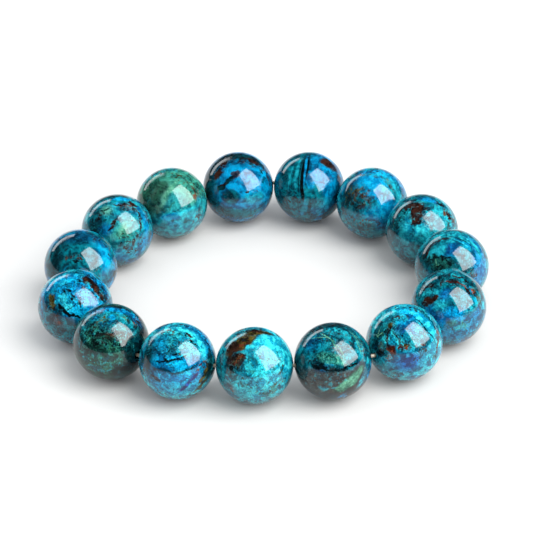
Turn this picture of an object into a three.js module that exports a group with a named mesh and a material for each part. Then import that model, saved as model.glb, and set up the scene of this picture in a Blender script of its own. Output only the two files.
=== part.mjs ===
import * as THREE from "three";

// Driving dimensions, in millimetres
const BEAD_COUNT = 15;
const BEAD_DIAMETER = 14;
const BEAD_SPACING = 14.12; // straight from centre to centre
const HOLE_DIAMETER = 1.3;
const MOUTH_DIAMETER = 1.9; // where the hole opens out at the bead's skin
const MOUTH_DEPTH = 0.35;
const CORD_DIAMETER = 0.8;

// The loop as it lies: a circle drawn out a little from side to side and flattened at the front
const OVAL_SHARE = 0.062;
const OVAL_DIRECTION = THREE.MathUtils.degToRad(-5);
const FLAT_SHARE = 0.039;
const FLAT_DIRECTION = THREE.MathUtils.degToRad(-34);
const FIRST_BEAD_DIRECTION = THREE.MathUtils.degToRad(122.6);

// How finely the round forms are faceted
const FACETS_AROUND = 20;
const FACETS_ALONG = 11; // odd, so that a flat band runs round the bead's middle
const CORD_SIDES = 8;
const EVENING_ROUNDS = 12; // how often the beads' places are evened out

const BEAD_RADIUS = BEAD_DIAMETER / 2;
const HOLE_RADIUS = HOLE_DIAMETER / 2;
const MOUTH_RADIUS = MOUTH_DIAMETER / 2;
const CORD_RADIUS = CORD_DIAMETER / 2;
const DOWN = new THREE.Vector3(0, 0, -1);

const STONES = {
  malachite_green: { color: 0x2f7f68, roughness: 0.12, metalness: 0 },
  azurite_blue: { color: 0x0b76a8, roughness: 0.12, metalness: 0 },
  turquoise_blend: { color: 0x2f9fae, roughness: 0.12, metalness: 0 },
};

// The main colour of each bead, clockwise from the upper left
const BEAD_STONES = [
  "malachite_green",
  "azurite_blue",
  "azurite_blue",
  "turquoise_blend",
  "turquoise_blend",
  "malachite_green",
  "turquoise_blend",
  "turquoise_blend",
  "malachite_green",
  "turquoise_blend",
  "azurite_blue",
  "malachite_green",
  "azurite_blue",
  "azurite_blue",
  "malachite_green",
];

// The line through the bead centres, level with them, run clockwise as seen from above
class LoopLine extends THREE.Curve {
  constructor(meanRadius, centre = new THREE.Vector3()) {
    super();
    this.arcLengthDivisions = 1200;
    this.meanRadius = meanRadius;
    this.centre = centre;
  }

  getPoint(share, target = new THREE.Vector3()) {
    const direction = FIRST_BEAD_DIRECTION - 2 * Math.PI * share;
    const oval = OVAL_SHARE * Math.cos(2 * (direction - OVAL_DIRECTION));
    const flat = FLAT_SHARE * Math.cos(3 * (direction - FLAT_DIRECTION));
    const radius = this.meanRadius * (1 + oval + flat);
    return target
      .set(radius * Math.cos(direction), radius * Math.sin(direction), BEAD_RADIUS)
      .sub(this.centre);
  }
}

// How far round the line each bead sits, evened out until all neighbours are equally far apart
function evenShares(line) {
  let steps = new Array(BEAD_COUNT).fill(1 / BEAD_COUNT);
  let shares = [];
  for (let round = 0; round < EVENING_ROUNDS; round += 1) {
    let passed = 0;
    shares = steps.map((step) => {
      const share = passed;
      passed += step;
      return share;
    });
    const centres = shares.map((s) => line.getPointAt(s));
    const gaps = centres.map((p, i) => p.distanceTo(centres[(i + 1) % BEAD_COUNT]));
    const wanted = steps.map((step, i) => step / gaps[i]);
    const total = wanted.reduce((sum, step) => sum + step);
    steps = wanted.map((step) => step / total);
  }
  return shares;
}

// Each bead's place and the direction of its hole, with the middle of the whole loop over the origin
function placeBeads() {
  const unitLine = new LoopLine(1);
  const shares = evenShares(unitLine);
  const [first, second] = shares.map((s) => unitLine.getPointAt(s));
  const meanRadius = BEAD_SPACING / first.distanceTo(second);
  const drawn = new LoopLine(meanRadius);
  const box = new THREE.Box3().setFromPoints(shares.map((s) => drawn.getPointAt(s)));
  const middle = box.getCenter(new THREE.Vector3()).setZ(0);
  const line = new LoopLine(meanRadius, middle);
  return shares.map((s) => ({ centre: line.getPointAt(s), along: line.getTangentAt(s) }));
}

// Half of the bead's outline from mouth to mouth, in facets that touch the true sphere at their
// middles, then back along the two mouths and the hole, as (distance from the hole's axis, height)
function beadOutline() {
  const mouthAngle = Math.acos(MOUTH_RADIUS / BEAD_RADIUS);
  const facetAngle = (2 * mouthAngle) / FACETS_ALONG;
  const cornerRadius = BEAD_RADIUS / Math.cos(facetAngle / 2);
  const outline = [];
  for (let i = 0; i <= FACETS_ALONG; i += 1) {
    const angle = i * facetAngle - mouthAngle;
    outline.push(new THREE.Vector2(Math.cos(angle), Math.sin(angle)).multiplyScalar(cornerRadius));
  }
  const holeEnd = outline.at(-1).y - MOUTH_DEPTH;
  outline.push(new THREE.Vector2(HOLE_RADIUS, holeEnd));
  outline.push(new THREE.Vector2(HOLE_RADIUS, -holeEnd));
  outline.push(outline[0].clone());
  return outline;
}

// A drilled bead about its own hole, which runs along Y, with the middle of a facet towards +Z
function beadGeometry() {
  const halfFacet = Math.PI / FACETS_AROUND;
  const toFlats = 1 / Math.cos(halfFacet);
  const outline = beadOutline().map((p) => p.setX(p.x * toFlats));
  return new THREE.LatheGeometry(outline, FACETS_AROUND, -halfFacet);
}

function makeBead(index, place, geometry) {
  const stone = STONES[BEAD_STONES[index]];
  const bead = new THREE.Mesh(geometry, new THREE.MeshStandardMaterial(stone));
  bead.name = "bead_" + String(index + 1).padStart(2, "0");
  const across = new THREE.Vector3().crossVectors(place.along, DOWN);
  bead.position.copy(place.centre);
  bead.setRotationFromMatrix(new THREE.Matrix4().makeBasis(across, place.along, DOWN));
  return bead;
}

// The cord's centre line: straight through every hole, and bent in the middle of every gap
function cordRoute(places) {
  const straight = BEAD_RADIUS - 2 * MOUTH_DEPTH;
  const points = [];
  places.forEach((place, i) => {
    const next = places[(i + 1) % places.length];
    const entry = place.centre.clone().addScaledVector(place.along, -straight);
    const exit = place.centre.clone().addScaledVector(place.along, straight);
    const outer = place.centre.clone().addScaledVector(place.along, BEAD_SPACING / 2);
    const inner = next.centre.clone().addScaledVector(next.along, -BEAD_SPACING / 2);
    points.push(entry, exit, outer.lerp(inner, 0.5));
  });
  const route = new THREE.CatmullRomCurve3(points, true, "centripetal");
  route.getPointAt = route.getPoint; // one section of the cord at each of the points
  route.getTangentAt = route.getTangent;
  return route;
}

// The cord is one closed ring, so the two end faces that meet inside it are left off
function makeCord(places) {
  const route = cordRoute(places);
  const section = new THREE.Shape();
  section.absarc(0, 0, CORD_RADIUS, 0, 2 * Math.PI);
  const drawn = new THREE.ExtrudeGeometry(section, {
    steps: route.points.length,
    curveSegments: CORD_SIDES / 2, // a full circle gets twice as many sides
    extrudePath: route,
  });
  const walls = drawn.groups[1];
  const corners = drawn.attributes.position.array.slice(
    3 * walls.start,
    3 * (walls.start + walls.count),
  );
  const ring = new THREE.BufferGeometry();
  ring.setAttribute("position", new THREE.BufferAttribute(corners, 3));
  ring.computeVertexNormals();
  const material = new THREE.MeshStandardMaterial({
    color: 0xc9c6ba,
    roughness: 0.35,
    metalness: 0,
  });
  const cord = new THREE.Mesh(ring, material);
  cord.name = "elastic_cord";
  return cord;
}

const places = placeBeads();
const sharedBead = beadGeometry();
const bracelet = new THREE.Group();
places.forEach((place, i) => bracelet.add(makeBead(i, place, sharedBead)));
bracelet.add(makeCord(places));

export default bracelet;
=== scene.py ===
"""The looks of the azurite and malachite bead bracelet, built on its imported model, in metres."""

import math
from functools import partial
from typing import NamedTuple

import bmesh
import bpy
from mathutils import Matrix, Vector
from mathutils.geometry import interpolate_bezier


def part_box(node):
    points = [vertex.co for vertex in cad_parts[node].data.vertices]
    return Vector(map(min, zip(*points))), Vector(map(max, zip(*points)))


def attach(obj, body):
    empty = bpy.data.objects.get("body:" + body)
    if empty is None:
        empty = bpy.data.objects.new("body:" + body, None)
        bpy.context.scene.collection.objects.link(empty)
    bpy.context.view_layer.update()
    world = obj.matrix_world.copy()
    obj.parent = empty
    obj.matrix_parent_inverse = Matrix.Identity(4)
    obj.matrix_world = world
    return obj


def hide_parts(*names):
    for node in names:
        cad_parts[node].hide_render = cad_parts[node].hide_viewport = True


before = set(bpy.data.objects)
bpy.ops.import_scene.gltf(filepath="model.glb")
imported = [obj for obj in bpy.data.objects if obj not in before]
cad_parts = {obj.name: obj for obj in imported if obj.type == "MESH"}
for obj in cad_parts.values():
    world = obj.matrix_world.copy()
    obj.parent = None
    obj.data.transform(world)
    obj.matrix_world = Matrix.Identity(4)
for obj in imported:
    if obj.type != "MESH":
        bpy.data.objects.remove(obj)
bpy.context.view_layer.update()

MM = 0.001
UP = Vector((0, 0, 1))
BEAD_NAMES = sorted(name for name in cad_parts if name.startswith("bead_"))

# The camera stands where the photo was taken from
CAMERA_ELEVATION = math.radians(32.5)
CAMERA_ROLL = math.radians(-2.5)
CAMERA_DISTANCE = 524.5 * MM
CAMERA_TARGET = Vector((0.456, 1.485, 7.0)) * MM
CAMERA_LENS = 186.4  # millimetres, on a sensor 36 wide
NEAREST_SEEN = 10 * MM

BACK = Vector((0, -math.cos(CAMERA_ELEVATION), math.sin(CAMERA_ELEVATION)))
LEVEL_RIGHT = Vector((1, 0, 0))
LEVEL_UP = BACK.cross(LEVEL_RIGHT)
PHOTO_RIGHT = LEVEL_RIGHT * math.cos(CAMERA_ROLL) + LEVEL_UP * math.sin(CAMERA_ROLL)
PHOTO_UP = LEVEL_UP * math.cos(CAMERA_ROLL) - LEVEL_RIGHT * math.sin(CAMERA_ROLL)
CAMERA_PLACE = CAMERA_TARGET + BACK * CAMERA_DISTANCE

# Minerals: the darker and the lighter shade that each one is mottled with, as they look when lit
MINERALS = {
    "azure": ((0, 80, 124), (0, 154, 208)),
    "bright_azure": ((0, 122, 180), (8, 188, 238)),
    "royal": ((0, 46, 104), (8, 98, 174)),
    "navy": ((0, 22, 38), (0, 66, 98)),
    "sky": ((6, 88, 140), (40, 150, 200)),
    "cyan": ((4, 140, 172), (54, 214, 226)),
    "turquoise": ((2, 96, 120), (32, 178, 192)),
    "teal": ((0, 58, 74), (2, 130, 146)),
    "deep_teal": ((0, 16, 22), (0, 54, 64)),
    "sea_green": ((20, 100, 92), (64, 164, 144)),
    "bottle": ((16, 58, 50), (42, 104, 84)),
    "malachite": ((18, 72, 60), (54, 138, 114)),
    "dark_malachite": ((8, 36, 32), (28, 86, 66)),
    "pale_malachite": ((62, 140, 112), (124, 198, 160)),
    "olive": ((30, 30, 10), (84, 76, 30)),
    "rust": ((64, 22, 10), (138, 62, 30)),
    "brown": ((30, 18, 12), (92, 56, 34)),
    "umber": ((16, 7, 6), (56, 30, 22)),
    "slate": ((20, 30, 32), (66, 76, 74)),
    "mauve": ((40, 40, 50), (84, 80, 90)),
    "indigo": ((10, 36, 104), (30, 78, 168)),
    "black": ((1, 3, 5), (4, 14, 18)),
}
LIT = 2.05  # how much brighter the studio light makes a stone than its own shade


def linear(shade, lit=1.0):
    """A display colour, 0 to 255, as the light that the shader reckons with."""
    shown = [c / 255 for c in shade]
    light = [c / 12.92 if c < 0.04 else ((c + 0.055) / 1.055) ** 2.4 for c in shown]
    return (*(c / lit for c in light), 1.0)


class Wire:
    """A socket in a material, with Python's operators standing for its Math nodes."""

    def __init__(self, paint, socket):
        self.paint = paint
        self.socket = socket

    def _calc(self, operation, *terms):
        sockets = [term.socket for term in terms if isinstance(term, Wire)]
        wide = any(socket.type in ("VECTOR", "RGBA") for socket in sockets)
        kind = "ShaderNodeVectorMath" if wide else "ShaderNodeMath"
        if wide:
            terms = [(term,) * 3 if isinstance(term, (int, float)) else term for term in terms]
        return self.paint.node(kind, {"operation": operation}, dict(enumerate(terms)))

    def __add__(self, other):
        return self._calc("ADD", self, other)

    __radd__ = __add__

    def __sub__(self, other):
        return self._calc("SUBTRACT", self, other)

    def __rsub__(self, other):
        return self._calc("SUBTRACT", other, self)

    def __mul__(self, other):
        return self._calc("MULTIPLY", self, other)

    __rmul__ = __mul__

    def __abs__(self):
        return self._calc("ABSOLUTE", self)

    def step(self, low, high):
        """0 below low, 1 above high and a smooth rise between; a fall where low is above high."""
        rising = high > low
        inputs = {
            "Value": self,
            "From Min": min(low, high),
            "From Max": max(low, high),
            "To Min": 0.0 if rising else 1.0,
            "To Max": 1.0 if rising else 0.0,
        }
        return self.paint.node("ShaderNodeMapRange", {"interpolation_type": "SMOOTHSTEP"}, inputs)


class Paint:
    """The nodes of a new material or world."""

    def __init__(self, owner):
        self.owner = owner
        owner.use_nodes = True
        self.tree = owner.node_tree
        self.tree.nodes.clear()

    def node(self, kind, settings=None, inputs=None, output=0):
        made = self.tree.nodes.new(kind)
        for key, value in (settings or {}).items():
            setattr(made, key, value)
        for key, value in (inputs or {}).items():
            socket = made.inputs[key]
            if isinstance(value, Wire):
                self.tree.links.new(value.socket, socket)
            else:
                socket.default_value = value
        return Wire(self, made.outputs[output])

    def place(self, centre=(0, 0, 0), size=1.0):
        """Object coordinates from a centre, in units of size."""
        there = self.node("ShaderNodeTexCoord", output="Object")
        inputs = {"Vector": there, "Location": tuple(centre), "Scale": (size, size, size)}
        return self.node("ShaderNodeMapping", {"vector_type": "TEXTURE"}, inputs)

    def noise(self, vector, scale, detail, roughness=0.5, bend=0.0, output="Fac"):
        inputs = {
            "Vector": vector,
            "Scale": scale,
            "Detail": detail,
            "Roughness": roughness,
            "Distortion": bend,
        }
        return self.node("ShaderNodeTexNoise", {"noise_dimensions": "3D"}, inputs, output)

    def mix(self, factor, first, second):
        inputs = {0: factor, 6: first, 7: second}
        return self.node("ShaderNodeMix", {"data_type": "RGBA"}, inputs, 2)

    def finish(self, inputs, shader="ShaderNodeBsdfPrincipled", end="ShaderNodeOutputMaterial"):
        surface = self.node(shader, None, inputs)
        ending = self.tree.nodes.new(end)
        self.tree.links.new(surface.socket, ending.inputs["Surface"])
        return self.owner


def added(name, data):
    """A new object of the scene."""
    thing = bpy.data.objects.new(name, data)
    bpy.context.scene.collection.objects.link(thing)
    return thing


def finished(name, shape):
    """A new, smoothly shaded piece with the shape."""
    mesh = bpy.data.meshes.new(name)
    shape.to_mesh(mesh)
    shape.free()
    mesh.shade_smooth()
    return added(name, mesh)


def standing(place, x_axis, y_axis, z_axis):
    """The matrix that stands something at a place, its own axes along the three given."""
    return Matrix.Translation(place) @ Matrix((x_axis, y_axis, z_axis)).transposed().to_4x4()


# The stone of each bead


class Mark(NamedTuple):
    """A mark in the colour of one mineral, seen in the photo at (right, up) from the bead's middle,
    in bead radii, with half its length and half its width, its length turned by turn degrees from
    level.
    Most marks are the stone's own; those with a comment above them are painted shade and painted
    reflections."""

    style: str
    mineral: str
    right: float
    up: float
    length: float
    width: float
    turn: float = 0.0
    strength: float = 1.0


# For each style of mark: the coordinates that it is drawn on, how much its rim is broken up, and
# how soft the rim is, both as shares of its size
STYLES = {
    "patch": ("wild", 0.9, 0.15),
    "blot": ("wild", 0.4, 0.2),
    "cloud": ("wild", 0.9, 0.45),
    "smooth": ("calm", 0.4, 0.25),
    "wash": ("calm", 0.4, 0.75),
    "crumbs": ("wild", 0.7, 0.3),
    "specks": ("wild", 0.6, 0.3),
    "veins": ("wild", 0.6, 0.3),
    "line": ("wild", 0.3, 0.3),
    "straight": ("still", 0.5, 0.35),
    "fibres": ("calm", 0.0, 0.25),
    "ring": ("calm", 0.4, 0.2),
}
# One function for each style, in the same order, which makes a mark of that style
patch, blot, cloud, smooth, wash, crumbs, specks, veins, line, straight, fibres, ring = (
    partial(Mark, style) for style in STYLES
)


class Recipe(NamedTuple):
    """What a bead's stone is made of: three main minerals, the mineral of its flecks, and how
    strongly its grain, dark islands, pale sparks, dark lines and net of cracks show."""

    ground: tuple
    flecks: str
    grit: float
    mottle: float
    sparks: float
    web: float
    crackle: float = 0.0


# What the stone of each bead is made of, from the upper left of the photo, clockwise
RECIPES = {
    "bead_01": Recipe(("sea_green", "turquoise", "malachite"), "olive", 0.8, 0.25, 0.2, 0.4),
    "bead_02": Recipe(("azure", "azure", "turquoise"), "umber", 0.7, 0.2, 0.05, 0.25),
    "bead_03": Recipe(("azure", "teal", "azure"), "umber", 0.8, 0.15, 0.05, 0.2),
    "bead_04": Recipe(("azure", "turquoise", "teal"), "umber", 1.2, 0.4, 0.2, 0.35),
    "bead_05": Recipe(("turquoise", "teal", "cyan"), "umber", 1.8, 0.45, 0.4, 0.6),
    "bead_06": Recipe(("teal", "turquoise", "azure"), "umber", 1.6, 0.4, 0.4, 0.5),
    "bead_07": Recipe(("teal", "turquoise", "azure"), "umber", 2.2, 0.4, 0.3, 0.7),
    "bead_08": Recipe(("turquoise", "cyan", "azure"), "umber", 3.0, 0.35, 0.35, 1.0),
    "bead_09": Recipe(("teal", "deep_teal", "azure"), "umber", 2.2, 0.35, 0.25, 0.45),
    "bead_10": Recipe(("cyan", "turquoise", "teal"), "olive", 2.4, 0.25, 0.4, 0.5, 0.75),
    "bead_11": Recipe(("azure", "cyan", "teal"), "olive", 3.0, 0.3, 0.4, 0.85, 0.3),
    "bead_12": Recipe(("deep_teal", "dark_malachite", "teal"), "black", 3.2, 0.5, 0.3, 0.8),
    "bead_13": Recipe(("azure", "turquoise", "teal"), "black", 3.0, 0.25, 0.4, 1.0, 0.3),
    "bead_14": Recipe(("teal", "azure", "deep_teal"), "umber", 0.8, 0.2, 0.1, 0.25),
    "bead_15": Recipe(("turquoise", "teal", "azure"), "umber", 1.2, 0.4, 0.3, 0.4),
}
# The marks on each bead, each one over those before it
MARKS = {}
MARKS["bead_01"] = [
    cloud("sea_green", 0.3, 0.5, 0.75, 0.5, -40),
    wash("sea_green", 0.05, 0.25, 0.35, 0.5, 60),
    smooth("bottle", -0.5, 0.12, 0.66, 0.38, 80),
    wash("slate", -0.36, 0.1, 0.5, 0.28, 80, 0.55),
    wash("turquoise", 0.05, 0.02, 0.3, 0.22, 0, 0.6),
    # Painted shade: darker down the left side, away from the softbox.
    smooth("dark_malachite", -0.8, 0.05, 0.6, 0.2, 84, 0.7),
    cloud("dark_malachite", -0.38, 0.2, 0.4, 0.1, 75, 0.7),
    veins("bottle", -0.4, 0.1, 0.6, 0.4, 80, 0.7),
    cloud("malachite", -0.35, 0.72, 0.35, 0.16, 25, 0.6),
    wash("pale_malachite", -0.06, 0.32, 0.4, 0.08, 62, 0.6),
    line("bottle", 0.02, 0.6, 0.3, 0.025, 10, 0.6),
    line("bottle", -0.05, -0.12, 0.25, 0.03, 50, 0.7),
    cloud("turquoise", 0.15, -0.68, 0.95, 0.46, 22),
    smooth("bright_azure", -0.02, -0.38, 0.32, 0.12, 15, 0.6),
    smooth("cyan", 0.3, -0.28, 0.36, 0.06, 18, 0.7),
    line("teal", 0.2, -0.2, 0.4, 0.02, 16, 0.8),
    cloud("azure", 0.02, -0.58, 0.24, 0.1, -10, 0.7),
    wash("cyan", 0.3, -0.6, 0.4, 0.2, 15, 0.5),
    patch("deep_teal", 0.08, -0.64, 0.09, 0.04, 10, 0.6),
    cloud("teal", 0.4, -0.53, 0.15, 0.11, 0, 0.8),
    blot("deep_teal", 0.4, -0.52, 0.06, 0.05, 0, 0.7),
    blot("deep_teal", -0.02, -0.47, 0.06, 0.04, 0, 0.6),
    cloud("teal", -0.35, -0.62, 0.25, 0.16, 20, 0.7),
    specks("olive", 0.45, 0.6, 0.5, 0.3, -45),
    crumbs("umber", 0.45, 0.62, 0.3, 0.14, -40, 0.7),
    crumbs("bottle", 0.62, 0.5, 0.4, 0.18, -60, 0.8),
    patch("brown", 0.62, 0.33, 0.16, 0.06, -80, 0.8),
    blot("rust", 0.63, 0.18, 0.07, 0.05, 80, 0.8),
    crumbs("brown", 0.72, 0.12, 0.2, 0.1, -80, 0.7),
    cloud("turquoise", 0.72, -0.05, 0.22, 0.12, 70, 0.8),
    specks("brown", 0.75, -0.33, 0.3, 0.16, 50),
    # Painted shade: darker at the bottom of the bead.
    wash("teal", -0.25, -0.85, 0.3, 0.1, -25, 0.6),
]
MARKS["bead_02"] = [
    smooth("azure", 0.15, 0.05, 0.9, 0.8),
    wash("navy", 0.0, 0.75, 0.6, 0.25, 0, 0.6),
    # Painted shade: darker down the left side, away from the softbox.
    wash("deep_teal", -0.85, 0.1, 0.75, 0.34, 85),
    cloud("deep_teal", -0.35, 0.8, 0.55, 0.2, 25),
    crumbs("navy", -0.1, 0.72, 0.4, 0.12, 10),
    cloud("deep_teal", 0.3, 0.82, 0.55, 0.16, -14),
    crumbs("umber", 0.3, 0.72, 0.55, 0.16, -16),
    crumbs("deep_teal", 0.58, 0.56, 0.45, 0.16, -48),
    crumbs("umber", 0.7, 0.5, 0.28, 0.08, -50),
    blot("umber", 0.42, 0.72, 0.2, 0.08, -30, 0.9),
    crumbs("umber", -0.52, 0.45, 0.3, 0.12, 68),
    blot("umber", -0.57, 0.38, 0.17, 0.11, 80),
    patch("umber", -0.4, 0.66, 0.14, 0.06, 30),
    blot("umber", -0.09, 0.34, 0.13, 0.1, 20, 0.9),
    patch("deep_teal", -0.28, 0.17, 0.2, 0.06, 42),
    patch("deep_teal", -0.47, 0.0, 0.18, 0.07, 25),
    patch("umber", -0.42, 0.06, 0.1, 0.04, 25),
    smooth("teal", -0.22, -0.3, 0.24, 0.21, -10),
    wash("deep_teal", -0.2, -0.28, 0.16, 0.12, 0, 0.7),
    ring("deep_teal", -0.22, -0.3, 0.24, 0.21, -10, 0.45),
    patch("umber", 0.26, -0.15, 0.06, 0.04),
    crumbs("deep_teal", 0.66, 0.28, 0.22, 0.1, -60, 0.8),
    crumbs("umber", 0.85, 0.25, 0.26, 0.08, -75, 0.8),
    blot("umber", 0.5, -0.1, 0.05, 0.03, -40, 0.8),
    cloud("turquoise", 0.48, -0.33, 0.34, 0.17, 0, 0.7),
    veins("teal", 0.45, -0.35, 0.35, 0.2, 0, 0.8),
    crumbs("teal", 0.72, -0.1, 0.2, 0.1, 60, 0.3),
    # Painted shade: darker at the bottom of the bead.
    cloud("teal", 0.0, -0.78, 0.75, 0.22),
    crumbs("umber", -0.32, -0.82, 0.2, 0.06, -20, 0.5),
    crumbs("umber", 0.5, -0.72, 0.25, 0.07, 30, 0.8),
    # Painted shade: darker at the lower left.
    cloud("deep_teal", -0.3, -0.7, 0.5, 0.14, -25, 0.4),
]
MARKS["bead_03"] = [
    smooth("azure", 0.5, 0.2, 0.95, 0.62, 75),
    wash("navy", 0.05, 0.75, 0.45, 0.25, -5, 0.6),
    smooth("teal", -0.6, 0.0, 1.0, 0.46, 88),
    # Painted shade: darker down the left side, away from the softbox.
    wash("deep_teal", -0.8, 0.0, 0.6, 0.16, 86, 0.7),
    straight("turquoise", -0.36, 0.35, 0.5, 0.04, 88, 0.8),
    straight("turquoise", -0.55, 0.25, 0.4, 0.025, 86, 0.7),
    straight("deep_teal", -0.28, 0.3, 0.5, 0.02, 89, 0.8),
    straight("deep_teal", -0.46, 0.3, 0.4, 0.02, 87, 0.7),
    smooth("teal", 0.12, -0.25, 0.38, 0.28, -62),
    wash("turquoise", 0.35, -0.5, 0.3, 0.2, 0, 0.6),
    straight("navy", -0.05, 0.5, 0.45, 0.13, 88),
    straight("azure", -0.11, 0.5, 0.46, 0.04, 88),
    straight("black", -0.03, 0.55, 0.35, 0.03, 87),
    straight("black", -0.2, 0.25, 0.62, 0.05, 90),
    straight("black", -0.18, -0.2, 0.2, 0.04, 92),
    smooth("azure", 0.13, 0.75, 0.16, 0.1, 70, 0.8),
    smooth("azure", 0.02, 0.2, 0.24, 0.1, 95, 0.8),
    blot("umber", 0.52, 0.68, 0.26, 0.18, -30),
    patch("umber", 0.7, 0.55, 0.16, 0.08, -50),
    crumbs("umber", 0.75, 0.45, 0.3, 0.1, -62),
    crumbs("deep_teal", 0.6, 0.45, 0.2, 0.16, -60, 0.7),
    crumbs("black", -0.5, -0.16, 0.16, 0.06, 20),
    crumbs("black", -0.42, -0.33, 0.14, 0.08, 20),
    specks("black", -0.55, -0.28, 0.35, 0.2),
    # Painted shade: dark along the lower right rim.
    smooth("navy", 0.74, -0.35, 0.4, 0.16, 75, 0.8),
    # Painted shade: dark along the right rim.
    wash("navy", 0.85, 0.1, 0.5, 0.12, 88, 0.6),
    crumbs("deep_teal", 0.1, -0.5, 0.3, 0.16, 60, 0.5),
    straight("deep_teal", 0.0, -0.6, 0.3, 0.05, 88, 0.8),
    straight("deep_teal", -0.3, -0.55, 0.25, 0.02, 85, 0.6),
]
MARKS["bead_04"] = [
    smooth("bright_azure", -0.12, 0.52, 0.5, 0.36, 25, 0.8),
    smooth("bright_azure", 0.35, 0.8, 0.4, 0.14, -25, 0.8),
    cloud("azure", -0.2, 0.85, 0.3, 0.1, 15),
    cloud("turquoise", 0.72, 0.3, 0.5, 0.22, -65, 0.8),
    cloud("teal", -0.5, -0.02, 0.55, 0.34, -25),
    wash("deep_teal", -0.42, 0.3, 0.3, 0.2, 0, 0.5),
    # Painted shade: darker down the left side, away from the softbox.
    wash("deep_teal", -0.72, 0.2, 0.5, 0.22, 80, 0.9),
    crumbs("deep_teal", -0.35, 0.05, 0.55, 0.3, -30, 0.8),
    crumbs("umber", -0.45, 0.15, 0.34, 0.2, -20, 0.7),
    specks("olive", -0.4, 0.12, 0.5, 0.36, -35, 0.8),
    patch("olive", -0.4, 0.37, 0.14, 0.05, 15, 0.7),
    patch("brown", -0.5, 0.1, 0.2, 0.04, 65, 0.5),
    patch("brown", -0.2, 0.12, 0.26, 0.035, -45, 0.5),
    patch("umber", -0.35, -0.08, 0.16, 0.05, 20, 0.8),
    crumbs("umber", -0.02, -0.05, 0.2, 0.1, -60, 0.8),
    crumbs("brown", -0.15, 0.25, 0.14, 0.06, 60, 0.7),
    crumbs("olive", 0.1, 0.74, 0.4, 0.06, -20, 0.8),
    crumbs("olive", 0.42, 0.55, 0.3, 0.05, -45, 0.8),
    crumbs("brown", 0.58, 0.38, 0.2, 0.05, -50, 0.7),
    specks("umber", -0.15, 0.85, 0.5, 0.1, 5),
    patch("deep_teal", 0.82, 0.28, 0.12, 0.06, -70, 0.6),
    wash("bright_azure", 0.28, -0.3, 0.4, 0.26, 0, 0.8),
    wash("navy", 0.64, -0.6, 0.35, 0.16, 40, 0.8),
    specks("umber", 0.1, -0.55, 0.4, 0.2, 0, 0.6),
    # Painted shade: darker at the lower left of the bead.
    wash("teal", -0.45, -0.6, 0.5, 0.25, -35, 0.8),
    specks("brown", -0.3, -0.6, 0.5, 0.25),
    crumbs("deep_teal", 0.05, -0.7, 0.5, 0.2, 0, 0.6),
]
MARKS["bead_05"] = [
    cloud("turquoise", 0.1, 0.0, 0.9, 0.7),
    smooth("azure", 0.2, 0.83, 0.32, 0.12, -14),
    # Painted shade: darker down the left side, away from the softbox.
    wash("deep_teal", -0.78, 0.05, 0.5, 0.26, 85),
    crumbs("deep_teal", -0.7, 0.3, 0.4, 0.18, 62),
    crumbs("black", -0.76, 0.25, 0.2, 0.1, 70),
    crumbs("deep_teal", -0.45, 0.5, 0.35, 0.12, 45),
    veins("deep_teal", -0.3, 0.2, 0.6, 0.4, 0, 0.9),
    veins("deep_teal", 0.0, -0.15, 0.6, 0.2, 0, 0.7),
    cloud("cyan", 0.0, 0.06, 0.2, 0.12, -20, 0.8),
    cloud("cyan", -0.38, 0.13, 0.12, 0.14, 0, 0.8),
    cloud("cyan", -0.12, -0.02, 0.14, 0.08, 30, 0.7),
    blot("umber", -0.14, 0.52, 0.34, 0.19, 84),
    blot("umber", -0.34, 0.66, 0.22, 0.08, 12),
    blot("umber", 0.08, 0.6, 0.16, 0.07),
    blot("umber", -0.15, 0.2, 0.17, 0.08, 10),
    crumbs("umber", -0.25, 0.35, 0.1, 0.12, 80, 0.8),
    patch("deep_teal", -0.6, 0.5, 0.26, 0.035, 48),
    crumbs("deep_teal", -0.2, 0.82, 0.4, 0.06, 10, 0.8),
    crumbs("deep_teal", 0.6, 0.62, 0.4, 0.08, -45),
    specks("brown", 0.65, 0.55, 0.45, 0.14, -50),
    blot("umber", 0.73, 0.38, 0.13, 0.07, -50),
    patch("brown", 0.6, 0.46, 0.06, 0.035, -40),
    crumbs("brown", 0.86, 0.22, 0.2, 0.08, 85),
    crumbs("umber", 0.72, 0.2, 0.25, 0.06, 80, 0.8),
    blot("umber", 0.72, -0.03, 0.11, 0.07, 20),
    blot("brown", 0.52, -0.16, 0.09, 0.04, 15, 0.8),
    wash("teal", -0.2, -0.6, 0.75, 0.36, -5),
    wash("turquoise", -0.35, -0.6, 0.4, 0.2, -20, 0.6),
    wash("deep_teal", 0.38, -0.35, 0.25, 0.15, 0, 0.5),
]
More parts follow.
